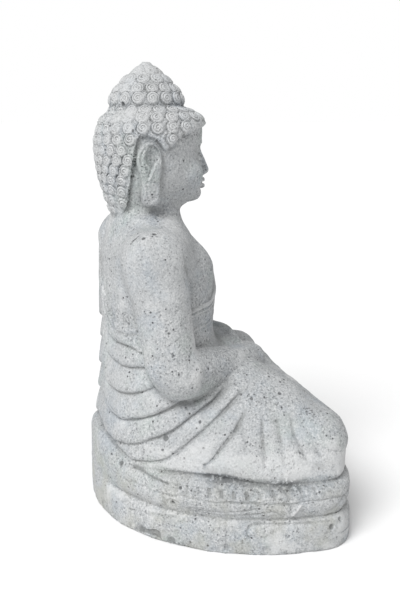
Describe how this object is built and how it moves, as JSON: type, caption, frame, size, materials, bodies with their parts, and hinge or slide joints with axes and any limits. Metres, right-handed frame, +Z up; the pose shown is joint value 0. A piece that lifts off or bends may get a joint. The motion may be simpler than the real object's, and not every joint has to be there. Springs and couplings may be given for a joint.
{
  "type": "buddha figure",
  "caption": "Seated Buddha in meditation, carved with its rounded plinth from one block of grey volcanic stone; robe in folds over the left shoulder, hair in snail curls, hands in the lap.",
  "frame": {"origin": "middle of the plinth's flat underside, on the ground", "axes": "+Z up, -Y the way the figure faces, -X the figure's right side"},
  "size_m": [0.4756, 0.3327, 0.6],
  "materials": {
    "stone": "grey volcanic stone, chiselled and worn, matt, with open pores and dark and pale specks"
  },
  "bodies": {
    "root": {"buddha_figure": "stone"}
  },
  "joints": []
}
